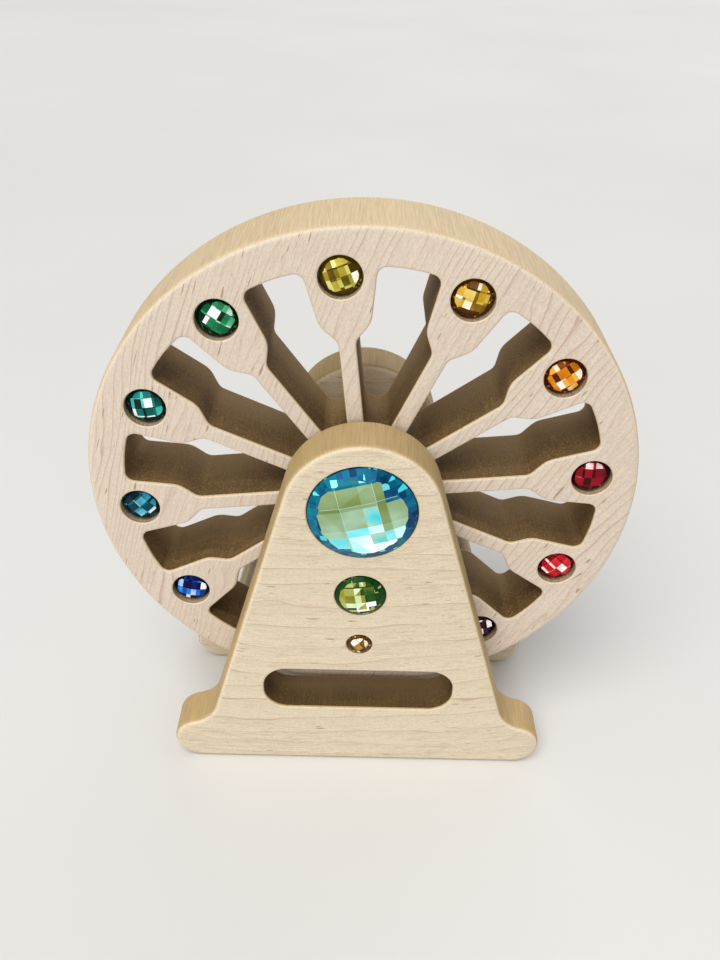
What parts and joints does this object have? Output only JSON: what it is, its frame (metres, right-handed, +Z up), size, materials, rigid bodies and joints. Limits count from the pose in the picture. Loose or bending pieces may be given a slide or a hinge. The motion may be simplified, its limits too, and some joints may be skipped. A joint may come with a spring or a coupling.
{
  "type": "gem wheel kaleidoscope",
  "caption": "Wooden kaleidoscope toy: a spoked wheel set with coloured cut gems spins on a dowel axle between two A-shaped stand plates.",
  "frame": {"origin": "on the table, under the middle of the whole object's box", "axes": "+X to the right seen from the front, -Y to the front where the gems are, +Z up"},
  "size_m": [0.1298, 0.0516, 0.1461],
  "materials": {
    "stand_maple": "satin, sanded, unvarnished look, fine horizontal grain",
    "wheel_maple": "satin, sanded, slanting grain lines",
    "dowel": "satin, turned",
    "spacer": "satin, turned",
    "large_aqua_gem": "polished cut acrylic with a mirrored back",
    "medium_green_gem": "polished cut acrylic with a mirrored back",
    "small_amber_gem": "polished cut acrylic with a mirrored back",
    "rim_gem_red": "polished cut acrylic with a mirrored back",
    "rim_gem_orange": "polished cut acrylic with a mirrored back",
    "rim_gem_gold": "polished cut acrylic with a mirrored back",
    "rim_gem_yellow": "polished cut acrylic with a mirrored back",
    "rim_gem_green": "polished cut acrylic with a mirrored back",
    "rim_gem_sea_green": "polished cut acrylic with a mirrored back",
    "rim_gem_petrol_blue": "polished cut acrylic with a mirrored back",
    "rim_gem_royal_blue": "polished cut acrylic with a mirrored back",
    "rim_gem_violet": "polished cut acrylic with a mirrored back",
    "rim_gem_purple": "polished cut acrylic with a mirrored back",
    "rim_gem_plum": "polished cut acrylic with a mirrored back",
    "rim_gem_bright_red": "polished cut acrylic with a mirrored back"
  },
  "bodies": {
    "stand": {"front_stand": "stand_maple", "back_stand": "stand_maple", "axle": "dowel", "front_spacer": "spacer", "back_spacer": "spacer", "large_aqua_gem": "large_aqua_gem", "medium_green_gem": "medium_green_gem", "small_amber_gem": "small_amber_gem"},
    "wheel": {"wheel": "wheel_maple", "rim_gem_red": "rim_gem_red", "rim_gem_orange": "rim_gem_orange", "rim_gem_gold": "rim_gem_gold", "rim_gem_yellow": "rim_gem_yellow", "rim_gem_green": "rim_gem_green", "rim_gem_sea_green": "rim_gem_sea_green", "rim_gem_petrol_blue": "rim_gem_petrol_blue", "rim_gem_royal_blue": "rim_gem_royal_blue", "rim_gem_violet": "rim_gem_violet", "rim_gem_purple": "rim_gem_purple", "rim_gem_plum": "rim_gem_plum", "rim_gem_bright_red": "rim_gem_bright_red"}
  },
  "joints": [
    {"name": "wheel_spin", "type": "hinge", "parent": "stand", "child": "wheel", "pos_m": [0, -0.00105, 0.0812], "axis": [0, 1, 0], "continuous": true}
  ]
}
